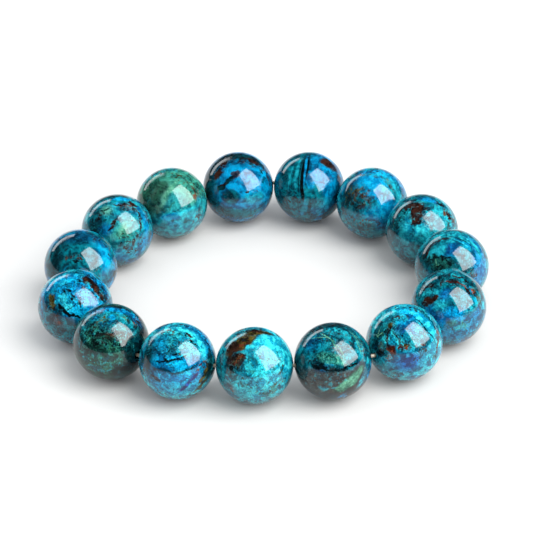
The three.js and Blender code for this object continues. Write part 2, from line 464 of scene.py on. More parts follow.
MARKS["bead_06"] = [
    cloud("teal", -0.35, 0.3, 0.75, 0.6),
    # Painted shade: darker down the left side, away from the softbox.
    wash("deep_teal", -0.75, 0.3, 0.45, 0.18, 70, 0.8),
    cloud("turquoise", 0.1, 0.85, 0.6, 0.12, -8, 0.8),
    smooth("sky", 0.78, 0.05, 0.75, 0.26, 100),
    wash("royal", -0.02, 0.44, 0.24, 0.18, 50, 0.75),
    cloud("turquoise", -0.33, 0.42, 0.22, 0.12, 20),
    cloud("turquoise", -0.1, 0.62, 0.16, 0.07, 10, 0.8),
    cloud("turquoise", -0.55, 0.3, 0.14, 0.1, 20, 0.8),
    patch("umber", -0.66, 0.36, 0.2, 0.03, 66),
    patch("umber", -0.48, 0.6, 0.16, 0.03, 42),
    patch("umber", -0.2, 0.72, 0.2, 0.03, 8),
    crumbs("umber", -0.55, 0.5, 0.2, 0.06, 50),
    cloud("dark_malachite", -0.35, 0.06, 0.42, 0.2, -6, 0.8),
    crumbs("black", -0.3, 0.1, 0.38, 0.16, -10),
    crumbs("black", -0.65, 0.1, 0.24, 0.12, 80, 0.9),
    blot("black", -0.28, 0.27, 0.05, 0.035),
    blot("black", -0.15, 0.19, 0.07, 0.035, 30),
    blot("black", -0.02, 0.2, 0.045, 0.03),
    blot("black", -0.07, 0.08, 0.1, 0.04, -20),
    straight("pale_malachite", -0.42, 0.1, 0.09, 0.009, -75, 0.7),
    straight("pale_malachite", -0.38, 0.02, 0.06, 0.008, 20, 0.6),
    smooth("turquoise", 0.5, 0.62, 0.55, 0.08, -40, 0.9),
    smooth("azure", 0.42, 0.5, 0.4, 0.05, -42, 0.9),
    straight("cyan", 0.3, 0.6, 0.35, 0.018, -35),
    straight("cyan", 0.45, 0.7, 0.4, 0.015, -38, 0.8),
    straight("deep_teal", 0.25, 0.7, 0.4, 0.018, -30, 0.8),
    straight("deep_teal", 0.6, 0.5, 0.3, 0.014, -48, 0.7),
    crumbs("teal", 0.55, 0.4, 0.3, 0.1, -50, 0.8),
    crumbs("brown", 0.63, -0.28, 0.09, 0.08, 0, 0.9),
    specks("umber", 0.45, -0.25, 0.3, 0.15),
]
MARKS["bead_07"] = [
    cloud("teal", -0.2, 0.5, 0.8, 0.55),
    wash("azure", 0.25, -0.6, 0.7, 0.4, 10, 0.85),
    smooth("azure", -0.05, -0.2, 0.55, 0.22, -12),
    wash("royal", -0.3, -0.28, 0.36, 0.22, -20, 0.8),
    cloud("turquoise", -0.14, 0.12, 0.3, 0.17, 50),
    wash("royal", -0.06, 0.33, 0.18, 0.14, 60, 0.8),
    patch("turquoise", -0.4, 0.39, 0.17, 0.1, 0),
    patch("turquoise", -0.66, 0.33, 0.08, 0.06, 40),
    cloud("turquoise", 0.68, 0.02, 0.36, 0.1, 35, 0.9),
    crumbs("black", -0.6, 0.4, 0.4, 0.25, 50, 0.8),
    blot("umber", -0.36, 0.21, 0.14, 0.09, 20),
    blot("umber", -0.56, 0.14, 0.18, 0.08, 15),
    patch("umber", -0.52, 0.52, 0.15, 0.06, 15),
    blot("umber", -0.18, 0.6, 0.06, 0.04, 60),
    blot("rust", 0.05, 0.65, 0.12, 0.035, -2),
    blot("rust", 0.22, 0.63, 0.12, 0.04, -10),
    blot("rust", 0.4, 0.55, 0.12, 0.035, -25),
    blot("umber", 0.5, 0.44, 0.08, 0.05, -45),
    blot("rust", 0.63, 0.42, 0.1, 0.03, -40),
    blot("umber", 0.7, 0.32, 0.12, 0.035, -70),
    crumbs("umber", 0.3, 0.58, 0.5, 0.12, -18),
    crumbs("black", 0.1, 0.78, 0.6, 0.1, -8, 0.9),
    specks("umber", 0.3, 0.8, 0.6, 0.14, -14),
    veins("deep_teal", 0.1, 0.65, 0.7, 0.25, -10),
    crumbs("olive", 0.78, 0.2, 0.36, 0.08, -75, 0.8),
    fibres("olive", 0.78, 0.2, 0.4, 0.08, -75, 0.8),
    cloud("sea_green", 0.08, -0.42, 0.14, 0.08, 0, 0.7),
    cloud("sea_green", 0.4, -0.5, 0.16, 0.1, 0, 0.5),
    cloud("turquoise", 0.22, -0.55, 0.12, 0.1, 0, 0.7),
    specks("malachite", 0.25, -0.5, 0.45, 0.25, 0, 0.7),
]
MARKS["bead_08"] = [
    cloud("turquoise", -0.1, 0.0, 0.9, 0.8),
    cloud("bright_azure", 0.32, 0.68, 0.45, 0.18, -25),
    cloud("cyan", 0.64, 0.42, 0.36, 0.16, -50, 0.8),
    wash("bright_azure", 0.06, 0.4, 0.28, 0.16, -20, 0.8),
    patch("indigo", -0.1, 0.3, 0.2, 0.12, 60),
    patch("royal", 0.12, 0.6, 0.16, 0.06, 70, 0.8),
    patch("cyan", 0.22, 0.74, 0.12, 0.06, 20),
    patch("cyan", 0.42, 0.56, 0.14, 0.06, -40),
    patch("cyan", -0.32, 0.08, 0.14, 0.1, 70),
    line("navy", 0.5, 0.42, 0.36, 0.025, -48),
    line("navy", 0.35, 0.85, 0.3, 0.02, -15),
    line("navy", 0.72, 0.5, 0.25, 0.02, -60),
    line("navy", 0.68, 0.2, 0.2, 0.02, -35),
    wash("royal", 0.1, -0.52, 0.45, 0.28, 8),
    smooth("royal", 0.2, -0.42, 0.25, 0.14, -10, 0.6),
    cloud("cyan", 0.64, -0.35, 0.32, 0.2, 40, 0.7),
    # Painted shade: darker down the left side, away from the softbox.
    cloud("deep_teal", -0.68, 0.1, 0.4, 0.2, 85, 0.9),
    crumbs("black", -0.66, 0.05, 0.45, 0.2, 80, 0.9),
    crumbs("dark_malachite", -0.5, 0.05, 0.45, 0.16, 80, 0.9),
    wash("cyan", -0.27, 0.02, 0.26, 0.2, 70, 0.8),
    wash("cyan", 0.02, 0.0, 0.2, 0.15, 0, 0.5),
    straight("pale_malachite", -0.66, 0.24, 0.1, 0.012, 70, 0.8),
    straight("pale_malachite", -0.62, 0.2, 0.1, 0.012, 20, 0.8),
    straight("pale_malachite", -0.7, 0.16, 0.09, 0.01, -30, 0.8),
    # Painted shade: a black spot where the bead meets its neighbour.
    blot("black", -0.62, -0.32, 0.13, 0.1),
    blot("umber", -0.44, -0.12, 0.08, 0.1, 0, 0.9),
    blot("rust", -0.33, -0.2, 0.12, 0.13),
    crumbs("rust", -0.34, -0.42, 0.16, 0.1, 20, 0.8),
    crumbs("olive", -0.35, 0.4, 0.18, 0.09, 75),
    blot("olive", -0.36, 0.42, 0.08, 0.05, 60),
    line("umber", -0.42, 0.15, 0.3, 0.02, 80),
    line("umber", -0.22, 0.12, 0.2, 0.018, -60),
    line("umber", -0.1, -0.02, 0.2, 0.016, -70),
    blot("black", -0.06, 0.13, 0.04, 0.035),
    blot("rust", -0.1, -0.14, 0.08, 0.03, 60),
    blot("olive", 0.05, -0.06, 0.1, 0.04, 5),
    blot("rust", 0.02, -0.13, 0.06, 0.03, 70),
    crumbs("umber", -0.02, -0.1, 0.2, 0.14, 20, 0.8),
    blot("rust", 0.86, -0.05, 0.14, 0.04, 85),
    blot("rust", 0.84, -0.22, 0.06, 0.03, 80),
    crumbs("rust", 0.87, 0.15, 0.2, 0.05, 85, 0.9),
    blot("rust", 0.5, -0.05, 0.1, 0.025, 22, 0.9),
    crumbs("umber", 0.45, -0.22, 0.2, 0.06, -20),
    blot("rust", -0.15, 0.67, 0.06, 0.03),
    crumbs("umber", -0.2, 0.65, 0.3, 0.1, 5),
    crumbs("black", -0.2, 0.42, 0.3, 0.18, 0, 0.6),
    specks("olive", 0.1, 0.88, 0.5, 0.1, -5),
    specks("black", -0.1, 0.15, 0.5, 0.4, 0, 0.6),
    veins("deep_teal", 0.0, 0.3, 0.8, 0.6, 0, 0.8),
    crumbs("brown", -0.22, -0.8, 0.2, 0.08, -15, 0.8),
    cloud("teal", -0.4, -0.7, 0.25, 0.15, -30, 0.6),
    wash("azure", 0.02, 0.42, 0.22, 0.15, -30, 0.5),
]
MARKS["bead_09"] = [
    cloud("teal", 0.1, 0.45, 0.85, 0.55),
    smooth("turquoise", 0.06, 0.74, 0.36, 0.15, -8, 0.8),
    wash("turquoise", 0.0, 0.4, 0.3, 0.15, -10, 0.6),
    cloud("azure", -0.46, 0.44, 0.28, 0.18, 40, 0.4),
    wash("royal", -0.55, 0.45, 0.2, 0.14, 40, 0.3),
    crumbs("deep_teal", -0.3, 0.4, 0.5, 0.3, 20, 0.8),
    # Painted reflection of the neighbouring bead: dark down the left side.
    smooth("deep_teal", -0.83, -0.14, 0.42, 0.2, 84),
    smooth("sea_green", -0.02, 0.05, 0.36, 0.14, -14, 0.8),
    specks("pale_malachite", -0.02, 0.02, 0.34, 0.12, -14, 0.4),
    veins("deep_teal", -0.2, 0.1, 0.5, 0.2, -5),
    cloud("turquoise", 0.74, 0.25, 0.4, 0.12, -80, 0.5),
    # Painted reflection of the pale floor: the lower half greyed.
    smooth("slate", -0.1, -0.62, 0.95, 0.4, 3),
    fibres("umber", -0.15, -0.4, 0.7, 0.2, 6, 0.8),
    fibres("umber", -0.2, -0.68, 0.6, 0.2, -12, 0.6),
    patch("black", -0.3, -0.18, 0.3, 0.045, -6),
    crumbs("deep_teal", -0.1, -0.14, 0.5, 0.1, -6),
    line("black", 0.08, -0.22, 0.22, 0.04, -2),
    line("black", 0.45, -0.12, 0.28, 0.025, 14),
    smooth("turquoise", 0.84, -0.3, 0.4, 0.12, 78, 0.9),
    smooth("umber", 0.47, -0.52, 0.5, 0.21, 46),
    smooth("malachite", 0.47, -0.52, 0.47, 0.18, 46),
    smooth("pale_malachite", 0.48, -0.51, 0.42, 0.14, 46, 0.6),
    fibres("bottle", 0.47, -0.52, 0.42, 0.14, 46, 0.5),
    ring("umber", 0.47, -0.52, 0.54, 0.23, 46, 0.5),
    cloud("turquoise", -0.24, -0.7, 0.12, 0.07, 15, 0.8),
    blot("turquoise", -0.06, -0.6, 0.05, 0.035, 0, 0.6),
    blot("turquoise", 0.02, -0.68, 0.05, 0.035, 0, 0.5),
    specks("turquoise", -0.1, -0.45, 0.5, 0.16, 0, 0.6),
    straight("pale_malachite", -0.12, 0.6, 0.26, 0.013, -45),
    straight("pale_malachite", 0.03, 0.42, 0.18, 0.013, -62),
    straight("pale_malachite", -0.34, 0.6, 0.24, 0.01, -14, 0.8),
    line("pale_malachite", 0.2, 0.28, 0.18, 0.014, -55),
    straight("pale_malachite", 0.58, 0.6, 0.24, 0.013, -62),
    straight("pale_malachite", 0.67, 0.36, 0.2, 0.013, -80),
    line("pale_malachite", 0.66, 0.55, 0.2, 0.01, -66, 0.7),
    crumbs("deep_teal", 0.1, 0.8, 0.6, 0.16, -8, 0.8),
    crumbs("umber", -0.05, 0.92, 0.4, 0.06, 2),
    specks("umber", 0.2, 0.6, 0.6, 0.3, -20, 0.7),
    specks("brown", 0.8, 0.3, 0.3, 0.12, 80, 0.8),
]
MARKS["bead_10"] = [
    smooth("cyan", 0.4, 0.2, 0.85, 0.75),
    wash("cyan", 0.1, -0.6, 0.8, 0.45, 0, 0.9),
    cloud("turquoise", -0.15, 0.05, 0.36, 0.3, 60, 0.8),
    cloud("turquoise", 0.75, 0.4, 0.4, 0.14, -70, 0.4),
    # Painted shade: darker down the left side, away from the softbox.
    wash("teal", -0.78, 0.1, 0.65, 0.25, 85),
    crumbs("deep_teal", -0.85, 0.15, 0.4, 0.1, 85),
    wash("umber", -0.55, 0.04, 0.24, 0.14, 10, 0.6),
    blot("olive", -0.45, 0.5, 0.4, 0.19, 36),
    blot("umber", -0.5, 0.48, 0.34, 0.17, 40, 0.9),
    blot("olive", -0.2, 0.68, 0.3, 0.2, 50),
    blot("olive", -0.03, 0.84, 0.28, 0.14, 6),
    crumbs("umber", -0.3, 0.6, 0.4, 0.14, 42),
    crumbs("rust", -0.32, 0.5, 0.2, 0.08, 30, 0.5),
    blot("brown", 0.16, 0.86, 0.28, 0.1, -10),
    blot("olive", 0.3, 0.83, 0.2, 0.07, -20),
    crumbs("umber", -0.05, 0.88, 0.45, 0.14, 4),
    patch("teal", -0.45, 0.32, 0.18, 0.05, 10, 0.8),
    blot("umber", -0.5, 0.16, 0.3, 0.14, 12),
    blot("brown", -0.38, 0.12, 0.16, 0.11, 50, 0.9),
    crumbs("rust", -0.42, 0.12, 0.2, 0.1, 40, 0.5),
    crumbs("umber", -0.55, -0.06, 0.22, 0.12, -20),
    crumbs("black", -0.7, 0.15, 0.2, 0.1, 70),
    crumbs("umber", -0.6, 0.28, 0.25, 0.06, 50, 0.6),
    cloud("deep_teal", -0.6, -0.22, 0.25, 0.1, -50, 0.7),
    specks("umber", -0.45, -0.3, 0.4, 0.15, -40),
    wash("mauve", -0.6, -0.56, 0.16, 0.09, -60, 0.8),
    crumbs("rust", -0.6, -0.58, 0.12, 0.05, -60, 0.6),
    veins("teal", 0.2, -0.5, 0.7, 0.35, 10, 0.7),
    specks("bottle", 0.2, -0.2, 0.8, 0.6, 0, 0.7),
    crumbs("malachite", 0.45, -0.62, 0.4, 0.14, 15, 0.6),
    specks("brown", 0.45, -0.6, 0.4, 0.2, 15),
    cloud("bottle", 0.4, -0.68, 0.24, 0.1, 12, 0.6),
    specks("olive", 0.42, -0.62, 0.4, 0.2, 15),
    patch("bottle", 0.55, -0.48, 0.16, 0.05, 50, 0.6),
    patch("malachite", 0.68, -0.1, 0.16, 0.035, 60, 0.9),
    specks("brown", 0.7, -0.08, 0.2, 0.08, 60),
    patch("bottle", 0.85, -0.42, 0.16, 0.035, 55, 0.9),
]
MARKS["bead_11"] = [
    cloud("turquoise", -0.3, 0.45, 0.65, 0.5, 0, 0.8),
    cloud("azure", -0.5, 0.2, 0.45, 0.3, 80, 0.8),
    smooth("cyan", 0.37, 0.54, 0.55, 0.24, -50),
    wash("cyan", 0.0, 0.36, 0.25, 0.15, -40, 0.7),
    cloud("cyan", -0.02, 0.8, 0.3, 0.1, 0, 0.8),
    cloud("cyan", 0.48, -0.38, 0.3, 0.12, 60, 0.8),
    smooth("azure", -0.1, -0.08, 0.62, 0.16, 0),
    wash("bright_azure", -0.15, -0.04, 0.5, 0.15, 0),
    smooth("azure", -0.05, -0.62, 0.8, 0.36, 0, 0.9),
    wash("bright_azure", 0.0, -0.6, 0.5, 0.28, 5, 0.7),
    wash("bright_azure", 0.25, -0.38, 0.36, 0.16, 20, 0.8),
    wash("cyan", 0.1, -0.75, 0.4, 0.2, 10, 0.5),
    # Painted shade: darker down the left side, away from the softbox.
    wash("deep_teal", -0.78, 0.05, 0.5, 0.22, 88),
    line("black", -0.32, 0.0, 0.34, 0.024, 1),
    patch("black", -0.02, 0.03, 0.2, 0.02, -4),
    patch("black", 0.12, 0.08, 0.12, 0.02, 14),
    smooth("deep_teal", -0.38, -0.24, 0.38, 0.04, -10, 0.6),
    smooth("deep_teal", 0.15, -0.24, 0.34, 0.035, 14, 0.7),
    line("umber", 0.42, -0.13, 0.16, 0.025, 24),
    blot("black", -0.12, 0.17, 0.07, 0.03, 10),
    blot("black", 0.03, 0.19, 0.06, 0.035, -10),
    blot("brown", 0.03, 0.19, 0.035, 0.015, -10, 0.8),
    blot("black", -0.22, 0.25, 0.05, 0.02, 60),
    crumbs("deep_teal", -0.3, 0.27, 0.4, 0.18, 60, 0.7),
    patch("umber", 0.3, 0.66, 0.12, 0.04, -30),
    patch("black", 0.36, 0.52, 0.1, 0.03, -60),
    patch("umber", 0.44, 0.42, 0.08, 0.03, -30),
    crumbs("black", 0.2, 0.62, 0.3, 0.1, -45),
    line("black", 0.12, 0.42, 0.2, 0.014, -42, 0.8),
    line("black", 0.05, 0.5, 0.2, 0.012, -50, 0.7),
    crumbs("brown", -0.15, 0.8, 0.14, 0.07, -30, 0.9),
    specks("olive", -0.25, 0.72, 0.3, 0.12),
    crumbs("black", 0.72, 0.5, 0.3, 0.06, -58, 0.8),
    straight("indigo", 0.42, -0.42, 0.2, 0.055, 42),
    straight("indigo", 0.2, -0.66, 0.26, 0.055, 64),
    cloud("bottle", 0.74, -0.42, 0.42, 0.14, 62, 0.7),
    patch("olive", 0.72, -0.3, 0.34, 0.08, 66),
    patch("dark_malachite", 0.85, -0.15, 0.36, 0.07, 78, 0.8),
    patch("olive", 0.6, -0.64, 0.26, 0.07, 52),
    specks("rust", 0.62, -0.15, 0.25, 0.1, 60),
    blot("rust", 0.56, -0.12, 0.05, 0.03, 30, 0.8),
    smooth("deep_teal", 0.84, 0.04, 0.3, 0.1, 85, 0.8),
    patch("brown", -0.6, -0.42, 0.2, 0.06, -12, 0.8),
    crumbs("umber", -0.5, -0.5, 0.3, 0.1, -15, 0.6),
    veins("deep_teal", -0.35, 0.5, 0.5, 0.35, 0, 0.8),
    veins("teal", 0.0, -0.6, 0.6, 0.3, 0, 0.6),
    specks("black", 0.0, 0.3, 0.7, 0.5, 0, 0.3),
]
MARKS["bead_12"] = [
    cloud("teal", -0.1, 0.7, 0.8, 0.3, 0),
    cloud("azure", 0.05, 0.84, 0.6, 0.13, -6),
    wash("turquoise", 0.1, 0.68, 0.45, 0.14, -10, 0.6),
    wash("turquoise", 0.05, 0.35, 0.22, 0.14, 0, 0.6),
    cloud("azure", 0.6, 0.62, 0.3, 0.12, -42, 0.9),
    patch("azure", 0.02, 0.6, 0.12, 0.1, 70),
    patch("azure", -0.22, 0.4, 0.16, 0.06, 75, 0.9),
    patch("azure", -0.45, 0.6, 0.12, 0.07, 50, 0.7),
    cloud("dark_malachite", -0.35, 0.05, 0.5, 0.4, 0, 0.8),
    crumbs("deep_teal", -0.3, 0.2, 0.7, 0.5),
    specks("turquoise", -0.2, 0.1, 0.8, 0.6, 0, 0.7),
    specks("malachite", -0.1, -0.1, 0.8, 0.6, 0, 0.7),
    crumbs("bottle", -0.14, 0.62, 0.16, 0.08, 55),
    crumbs("olive", -0.1, 0.66, 0.12, 0.04, 55, 0.8),
    crumbs("olive", -0.3, 0.5, 0.3, 0.12, 55, 0.7),
    crumbs("bottle", 0.32, 0.66, 0.26, 0.1, -30),
    crumbs("olive", 0.35, 0.6, 0.2, 0.06, -30, 0.7),
    cloud("brown", -0.04, 0.18, 0.16, 0.08, 10, 0.9),
    crumbs("umber", -0.15, 0.1, 0.3, 0.14, 10, 0.8),
    crumbs("brown", 0.64, 0.5, 0.22, 0.1, 60, 0.9),
    blot("rust", 0.6, 0.48, 0.05, 0.04, 60, 0.7),
    blot("rust", 0.75, 0.56, 0.05, 0.03, 60, 0.7),
    crumbs("umber", 0.75, 0.35, 0.25, 0.08, 80, 0.8),
    crumbs("black", -0.2, -0.16, 0.5, 0.14),
    crumbs("black", -0.6, 0.1, 0.4, 0.2, 70, 0.8),
    specks("malachite", -0.2, -0.1, 0.5, 0.25, 0, 0.7),
    # Painted reflection of the neighbouring bead: darker at the lower right.
    wash("deep_teal", 0.5, -0.4, 0.45, 0.35, 40, 0.8),
    wash("bottle", -0.2, -0.5, 0.5, 0.3, 0, 0.6),
    specks("turquoise", -0.2, -0.6, 0.55, 0.26, 0, 0.4),
    crumbs("malachite", -0.05, -0.42, 0.35, 0.14, 0, 0.7),
    # Painted reflection of the neighbouring bead: nearly black at the lower right.
    wash("black", 0.5, -0.66, 0.45, 0.24, 38, 0.8),
    wash("turquoise", 0.03, 0.38, 0.2, 0.12, 0, 0.5),
    crumbs("mauve", 0.12, -0.42, 0.16, 0.07, 20, 0.5),
]
MARKS["bead_13"] = [
    smooth("bright_azure", -0.1, 0.3, 0.85, 0.6, -10),
    smooth("royal", -0.12, 0.76, 0.2, 0.06, -8, 0.6),
    wash("bright_azure", 0.0, 0.6, 0.4, 0.2, -5, 0.8),
    cloud("cyan", -0.3, 0.1, 0.3, 0.24, 30, 0.8),
    cloud("cyan", -0.35, 0.62, 0.16, 0.1, 30, 0.6),
    veins("black", -0.1, 0.6, 0.6, 0.28, 0, 0.7),
    crumbs("black", -0.15, 0.52, 0.45, 0.16, 5, 0.7),
    blot("black", -0.3, 0.4, 0.09, 0.035, -60),
    blot("black", -0.15, 0.4, 0.06, 0.025, -40),
    blot("black", -0.05, 0.3, 0.1, 0.025, -50),
    blot("black", 0.12, 0.1, 0.12, 0.03, -65),
    blot("black", -0.05, 0.2, 0.06, 0.03, 20),
    blot("black", 0.0, 0.02, 0.06, 0.02, 40, 0.9),
    patch("black", -0.38, -0.02, 0.14, 0.03, -35),
    patch("black", -0.2, -0.18, 0.18, 0.05, -40),
    patch("black", -0.02, -0.25, 0.16, 0.05, -20),
    straight("black", -0.1, -0.02, 0.22, 0.011, 38, 0.9),
    veins("deep_teal", -0.2, 0.1, 0.5, 0.4, 0, 0.8),
    cloud("teal", 0.72, 0.3, 0.3, 0.1, -75, 0.8),
    blot("umber", 0.34, 0.68, 0.2, 0.15, -45),
    blot("umber", 0.52, 0.5, 0.2, 0.12, -58),
    patch("umber", 0.66, 0.28, 0.18, 0.08, -68),
    crumbs("black", 0.48, 0.58, 0.6, 0.3, -52),
    crumbs("black", 0.3, 0.8, 0.4, 0.16, -30),
    specks("brown", 0.52, 0.5, 0.35, 0.14, -55, 0.8),
    crumbs("black", 0.15, 0.62, 0.2, 0.1, 0, 0.9),
    # Painted shade: darker down the left side, away from the softbox.
    wash("deep_teal", -0.74, 0.05, 0.45, 0.2, 84, 0.9),
    patch("olive", -0.62, 0.12, 0.24, 0.1, -68),
    cloud("olive", -0.62, 0.04, 0.14, 0.07, -60, 0.6),
    crumbs("umber", -0.58, -0.12, 0.24, 0.12, -60),
    cloud("deep_teal", -0.45, -0.1, 0.2, 0.1, -50, 0.8),
    smooth("teal", -0.4, -0.52, 0.6, 0.34, -20),
    wash("mauve", -0.5, -0.38, 0.22, 0.1, -30, 0.8),
    crumbs("umber", -0.35, -0.5, 0.4, 0.25, -20, 0.5),
    crumbs("rust", -0.42, -0.36, 0.2, 0.1, -40, 0.6),
]
MARKS["bead_14"] = [
    wash("teal", -0.05, 0.4, 0.85, 0.5),
    wash("deep_teal", -0.35, 0.4, 0.4, 0.2, 30, 0.6),
    wash("navy", -0.1, 0.78, 0.6, 0.2, 6),
    wash("navy", 0.33, 0.72, 0.4, 0.2, -20),
    wash("bright_azure", 0.7, 0.12, 0.55, 0.22, -75, 0.8),
    # Painted shade: darker down the left side, away from the softbox.
    wash("deep_teal", -0.72, 0.15, 0.5, 0.22, 75),
    crumbs("deep_teal", -0.2, 0.2, 0.4, 0.2, 0, 0.7),
    cloud("teal", -0.2, 0.45, 0.4, 0.12, 15, 0.8),
    crumbs("umber", -0.12, 0.2, 0.2, 0.08, -8),
    blot("black", -0.13, 0.12, 0.09, 0.03, -10, 0.9),
    blot("brown", -0.4, 0.22, 0.05, 0.03, 0, 0.8),
    blot("brown", -0.08, 0.24, 0.05, 0.03, 0, 0.7),
    blot("umber", -0.42, 0.42, 0.03, 0.02, 0, 0.8),
    crumbs("umber", 0.5, 0.66, 0.24, 0.14, -35),
    crumbs("brown", 0.52, 0.62, 0.16, 0.06, -20, 0.8),
    crumbs("umber", 0.35, 0.8, 0.2, 0.05, -20, 0.8),
    blot("navy", 0.76, 0.3, 0.04, 0.04),
    crumbs("teal", 0.85, 0.1, 0.3, 0.1, -80, 0.8),
    wash("teal", 0.7, -0.4, 0.3, 0.2, 60, 0.8),
]
MARKS["bead_15"] = [
    cloud("turquoise", -0.1, 0.0, 0.9, 0.7),
    cloud("teal", -0.55, 0.35, 0.4, 0.3, 60, 0.9),
    # Painted shade: darker down the left side, away from the softbox.
    wash("deep_teal", -0.66, -0.14, 0.5, 0.28, 88),
    wash("sea_green", 0.1, -0.15, 0.45, 0.3, 50, 0.9),
    wash("pale_malachite", -0.3, 0.55, 0.14, 0.14, 0, 0.6),
    wash("pale_malachite", 0.15, 0.0, 0.2, 0.08, 70, 0.5),
    smooth("bright_azure", 0.1, 0.86, 0.24, 0.08, -4, 0.9),
    patch("bright_azure", 0.05, 0.73, 0.1, 0.06, 0, 0.8),
    patch("azure", 0.62, 0.55, 0.16, 0.08, 100),
    smooth("azure", 0.78, 0.2, 0.35, 0.12, 95, 0.9),
    cloud("azure", -0.34, 0.0, 0.2, 0.16, 20),
    cloud("azure", 0.68, -0.45, 0.34, 0.2, 60, 0.9),
    wash("azure", 0.1, -0.7, 0.4, 0.22, 0, 0.8),
    wash("bright_azure", 0.0, -0.72, 0.36, 0.2, 0, 0.6),
    wash("turquoise", 0.35, -0.6, 0.3, 0.2, 0, 0.6),
    wash("turquoise", 0.0, -0.35, 0.25, 0.15, 0, 0.6),
    line("umber", -0.02, 0.68, 0.14, 0.03, -40),
    line("umber", 0.15, 0.7, 0.12, 0.03, 50),
    patch("umber", 0.42, 0.72, 0.16, 0.08, -10),
    cloud("brown", 0.3, 0.64, 0.26, 0.12, -10, 0.6),
    crumbs("umber", 0.3, 0.62, 0.36, 0.16, -5),
    crumbs("rust", 0.25, 0.66, 0.16, 0.05, 20, 0.8),
    line("umber", 0.58, 0.42, 0.2, 0.035, -70),
    line("umber", 0.64, 0.12, 0.16, 0.03, -88),
    crumbs("umber", 0.58, -0.1, 0.14, 0.08, 60, 0.9),
    line("umber", -0.08, 0.24, 0.16, 0.035, 60),
    line("umber", -0.17, 0.05, 0.1, 0.035, 40),
    crumbs("deep_teal", -0.5, 0.35, 0.4, 0.25, 30),
    crumbs("umber", -0.5, 0.35, 0.25, 0.12, 40, 0.7),
    crumbs("deep_teal", -0.6, 0.0, 0.25, 0.2, 60, 0.8),
    cloud("brown", 0.45, -0.35, 0.1, 0.06, 60, 0.8),
    crumbs("umber", 0.4, -0.5, 0.3, 0.14, -30, 0.8),
    specks("umber", 0.4, -0.4, 0.5, 0.35, -40),
    blot("rust", 0.4, 0.25, 0.05, 0.03, 30, 0.7),
    wash("deep_teal", -0.3, 0.92, 0.5, 0.08, 18, 0.9),
]

MIDDLE = 0.5  # a noise's middle value
BEAD_STEP = (7.3, 3.1, 5.7)  # how far apart the noises of one bead and the next are
NOISE_STEP = (1, -0.7, 0.4)  # the way in which a noise's offset moves it

# The stone's coordinates: plain, or bent with bends of a scale, detail, roughness and reach
BENDS = {
    "drift": (1.6, 6.0, 0.6, 0.7),
    "wild": (4.5, 5.0, 0.66, 0.34),
    "calm": (2.2, 2.0, 0.5, 0.2),
    "still": (3.0, 3.0, 0.5, 0.06),
}
# The stone's own features. Each is drawn by a noise: its coordinates, offset, scale, detail,
# roughness and bend. The last two values say from where to where in the noise the feature comes
# in. If they fall, it is a thin line, where the noise is that near to its middle value.
FEATURES = {
    "clouds": ("drift", 11, 1.1, 2.0, 0.5, 0.0, 0.46, 0.56),
    "islands": ("drift", 29, 1.7, 4.0, 0.6, 0.0, 0.55, 0.6),
    "blots": ("drift", 37, 1.9, 5.0, 0.62, 0.0, 0.6, 0.63),
    "specks": ("plain", 13, 12.0, 4.0, 0.7, 0.0, 0.54, 0.57),
    "speck_crowds": ("plain", 41, 1.5, 2.0, 0.5, 0.0, 0.5, 0.62),
    "crumbs": ("calm", 47, 6.0, 7.0, 0.72, 0.4, 0.485, 0.515),
    "veins": ("calm", 59, 4.6, 6.0, 0.66, 1.0, 0.022, 0.008),
    "sparks": ("calm", 83, 6.5, 6.0, 0.72, 0.5, 0.56, 0.62),
    "spark_crowds": ("plain", 89, 1.8, 1.0, 0.5, 0.0, 0.4, 0.6),
    "mottle": ("calm", 53, 4.6, 8.0, 0.72, 0.8, 0.525, 0.56),
    "mottle_crowds": ("plain", 61, 1.5, 1.0, 0.5, 0.0, 0.36, 0.6),
    "crack_crowds": ("plain", 17, 2.1, 2.0, 0.5, 0.0, 0.44, 0.56),
    "web": ("calm", 23, 3.0, 6.0, 0.62, 1.2, 0.016, 0.004),
    "web_crowds": ("plain", 71, 1.7, 2.0, 0.5, 0.0, 0.46, 0.58),
}
SHORE = ("plain", 19, 7.0, 5.0, 0.7)  # the noise that breaks up the rims of the marks
FINE_GRAIN = (24.0, 3.0, 0.6)  # scale, detail and roughness
GRAIN_SCALE = 5.0
GRAIN_BEND = 0.5
FRAGMENTS = ((1.7, -2.9, 4.3), 6.5)  # the offset and scale of the broken pieces in the stone
FRAGMENT_EDGE = (0.02, 0.07)  # crumbs fade out this near to a fragment's edge
CRACKS = ((3.0, 2.1, -1.2), 5.5)
CRACK_EDGE = (0.055, 0.0)
THINNEST_MOTTLE = 0.25  # how strongly the dark islands show where they are thinnest
RIM_DEPTH = 0.02  # keeps a mark at the bead's rim on the side that the photo shows
FIBRE_WAVES = 9.0  # radians from the middle of a fibrous mark to its side

POLISH = 0.045  # roughness, and how much the dark lines and the fine grain add to it
LINE_ROUGHNESS = 0.2
FINE_ROUGHNESS = 0.03
LINE_DEPTH = 0.1 * MM
LINE_RELIEF = 0.1
STONE_IOR = 1.52


